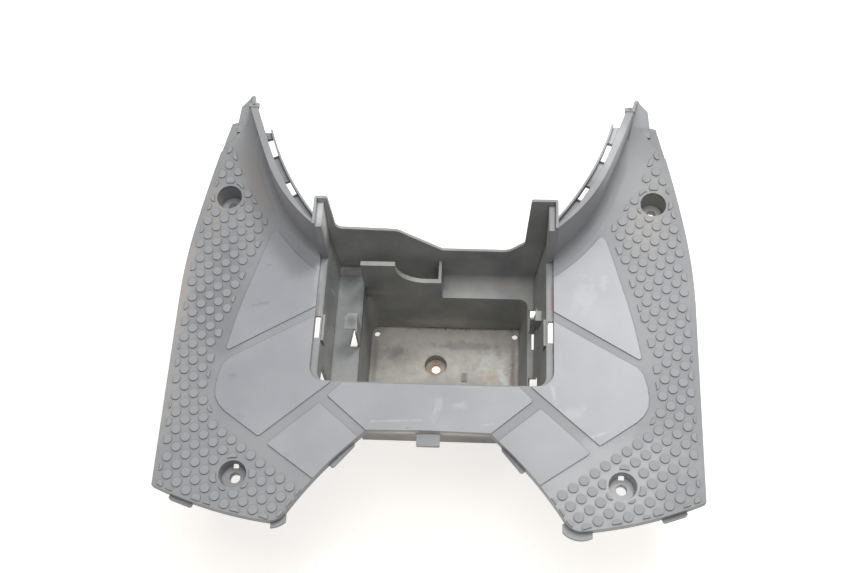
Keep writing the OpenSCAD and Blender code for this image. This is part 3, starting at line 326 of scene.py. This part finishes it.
def soft_block(name, low, high, blunt, turns=96, tilts=31):
    """Block with rounded edges: a sphere whose sines and cosines are raised to the small power
    blunt, which swells it into the box from low to high. Grid of turns round z by tilts."""
    turn = np.linspace(0, 2 * np.pi, turns + 1)[:-1]
    tilt = np.linspace(-np.pi / 2, np.pi / 2, tilts + 2)[1:-1, None]
    cos_turn, sin_turn, cos_tilt, sin_tilt = (
        np.sign(part) * np.abs(part) ** blunt
        for part in (np.cos(turn), np.sin(turn), np.cos(tilt), np.sin(tilt)))
    half = (high - low) / 2
    grid = np.stack([half[0] * cos_tilt * cos_turn, half[1] * cos_tilt * sin_turn,
                     half[2] * sin_tilt + 0 * turn], axis=-1)
    poles = [[0, 0, -half[2]], [0, 0, half[2]]]
    points = np.concatenate([grid.reshape(-1, 3), poles]) + (low + high) / 2
    rows, across = grid.shape[:2]
    index = np.arange(rows * across).reshape(rows, across)
    after = np.roll(index, -1, axis=1)
    sides = np.stack([index[:-1], after[:-1], after[1:], index[1:]], axis=-1).reshape(-1, 4)
    foot = np.stack([after[0], index[0], np.full(across, rows * across)], axis=-1)
    top = np.stack([index[-1], after[-1], np.full(across, rows * across + 1)], axis=-1)
    made = bpy.data.meshes.new(name)
    made.from_pydata(points.tolist(), [], sides.tolist() + foot.tolist() + top.tolist())
    made.shade_smooth()
    return bpy.data.objects.new(name, made)


tongue = soft_block("arch_tongue", tongue_low, tongue_high, tongue_blunt)
tongue.data.materials.append(board.data.materials[0])
bpy.context.scene.collection.objects.link(tongue)
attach(tongue, "root")


# The floor: a pale paper sweep, so bright that only the board's soft shadow shows on it. It also
# throws light back up under the board.
floor_half = 3.0
seen_glow = 0.66
thrown_glow = 0.4


def paper():
    """White paper: matt, lit up to white for the camera wherever no shadow falls."""
    made = bpy.data.materials.new("white paper")
    made.use_nodes = True
    tree = made.node_tree
    shader = tree.nodes["Principled BSDF"]
    shader.inputs["Base Color"].default_value = linear("e6ddd2")
    shader.inputs["Roughness"].default_value = 0.9
    seen = add(tree, "LightPath", out="Is Camera Ray")
    glow = add(tree, "MapRange", {"Value": seen, "To Min": thrown_glow, "To Max": seen_glow})
    shader.inputs["Emission Color"].default_value = linear("ffffff")
    tree.links.new(glow, shader.inputs["Emission Strength"])
    return made


corners = [(-floor_half, -floor_half, 0), (floor_half, -floor_half, 0),
           (floor_half, floor_half, 0), (-floor_half, floor_half, 0)]
sweep = bpy.data.meshes.new("floor")
sweep.from_pydata(corners, [], [(0, 1, 2, 3)])
sweep.materials.append(paper())
floor = bpy.data.objects.new("floor", sweep)
bpy.context.scene.collection.objects.link(floor)


# The light: soft boxes overhead, at the far right, low down there and at the near right, a weak
# one at the left, and pale room light from all round. Places and widths are in m, power in W.
aim = Vector((0, 0, 0.1))
room_light = 0.15
room_seen = 1.0


def soft_box(name, place, size, power):
    """Square lamp at place, turned to the board."""
    made = bpy.data.objects.new(name, bpy.data.lights.new(name, "AREA"))
    made.data.shape = "SQUARE"
    made.data.size = size
    made.data.energy = power
    made.location = place
    made.rotation_euler = (aim - Vector(place)).to_track_quat("-Z", "Y").to_euler()
    bpy.context.scene.collection.objects.link(made)


soft_box("overhead", (0.0, 0.2, 2.0), 1.2, 16.4)
soft_box("far_right", (0.35, 0.6, 1.4), 0.3, 6.6)
soft_box("low_right", (0.9, 1.4, 0.9), 1.0, 7.5)
soft_box("near_right", (0.8, -0.9, 1.6), 1.2, 3.3)
soft_box("left", (-1.4, 0.1, 1.2), 1.2, 2.0)

# The room is white where it is seen or mirrored, and weak as a light
room = bpy.data.worlds.new("room")
room.use_nodes = True
bpy.context.scene.world = room
walls = room.node_tree
plain = add(walls, "LightPath", out="Is Camera Ray")
for ray in ("Is Glossy Ray", "Is Transmission Ray"):
    plain = add(walls, "Math", {0: plain, 1: add(walls, "LightPath", out=ray)}, operation="MAXIMUM")
level = add(walls, "MapRange", {"Value": plain, "To Min": room_light, "To Max": room_seen})
walls.links.new(level, walls.nodes["Background"].inputs["Strength"])
walls.nodes["Background"].inputs["Color"].default_value = linear("ffffff")

bpy.context.scene.view_settings.view_transform = "Standard"
